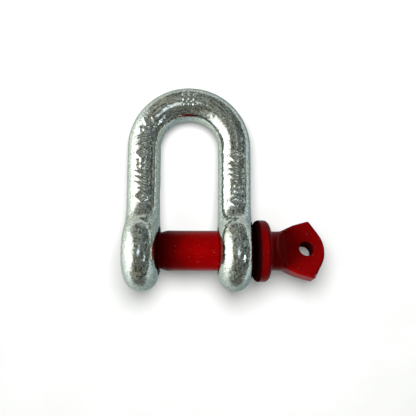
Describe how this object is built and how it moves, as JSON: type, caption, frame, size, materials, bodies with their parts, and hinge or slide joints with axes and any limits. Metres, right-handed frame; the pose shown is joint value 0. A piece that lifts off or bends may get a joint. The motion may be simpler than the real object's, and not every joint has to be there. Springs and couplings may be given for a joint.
{
  "type": "dee shackle",
  "caption": "Screw-pin dee shackle: a galvanised forged bow with round-rimmed eyes, and a red collared pin with a flat pierced head that withdraws sideways.",
  "frame": {"origin": "on the pin's axis, midway between the two eyes", "axes": "+X along the pin towards its head, +Y from the pin to the crown, +Z square to the plane of the bow"},
  "size_m": [0.1124, 0.1172, 0.0458],
  "materials": {
    "galvanised_steel": "hot-dip galvanised, lumpy and bright, with darker grey mottling",
    "red_painted_steel": "glossy deep red paint with runs and small chips"
  },
  "bodies": {
    "bow": {"bow": "galvanised_steel"},
    "screw_pin": {"screw_pin": "red_painted_steel"}
  },
  "joints": [
    {"name": "pin_slide", "type": "slide", "parent": "bow", "child": "screw_pin", "axis": [1, 0, 0], "range_m": [0, 0.1]}
  ]
}
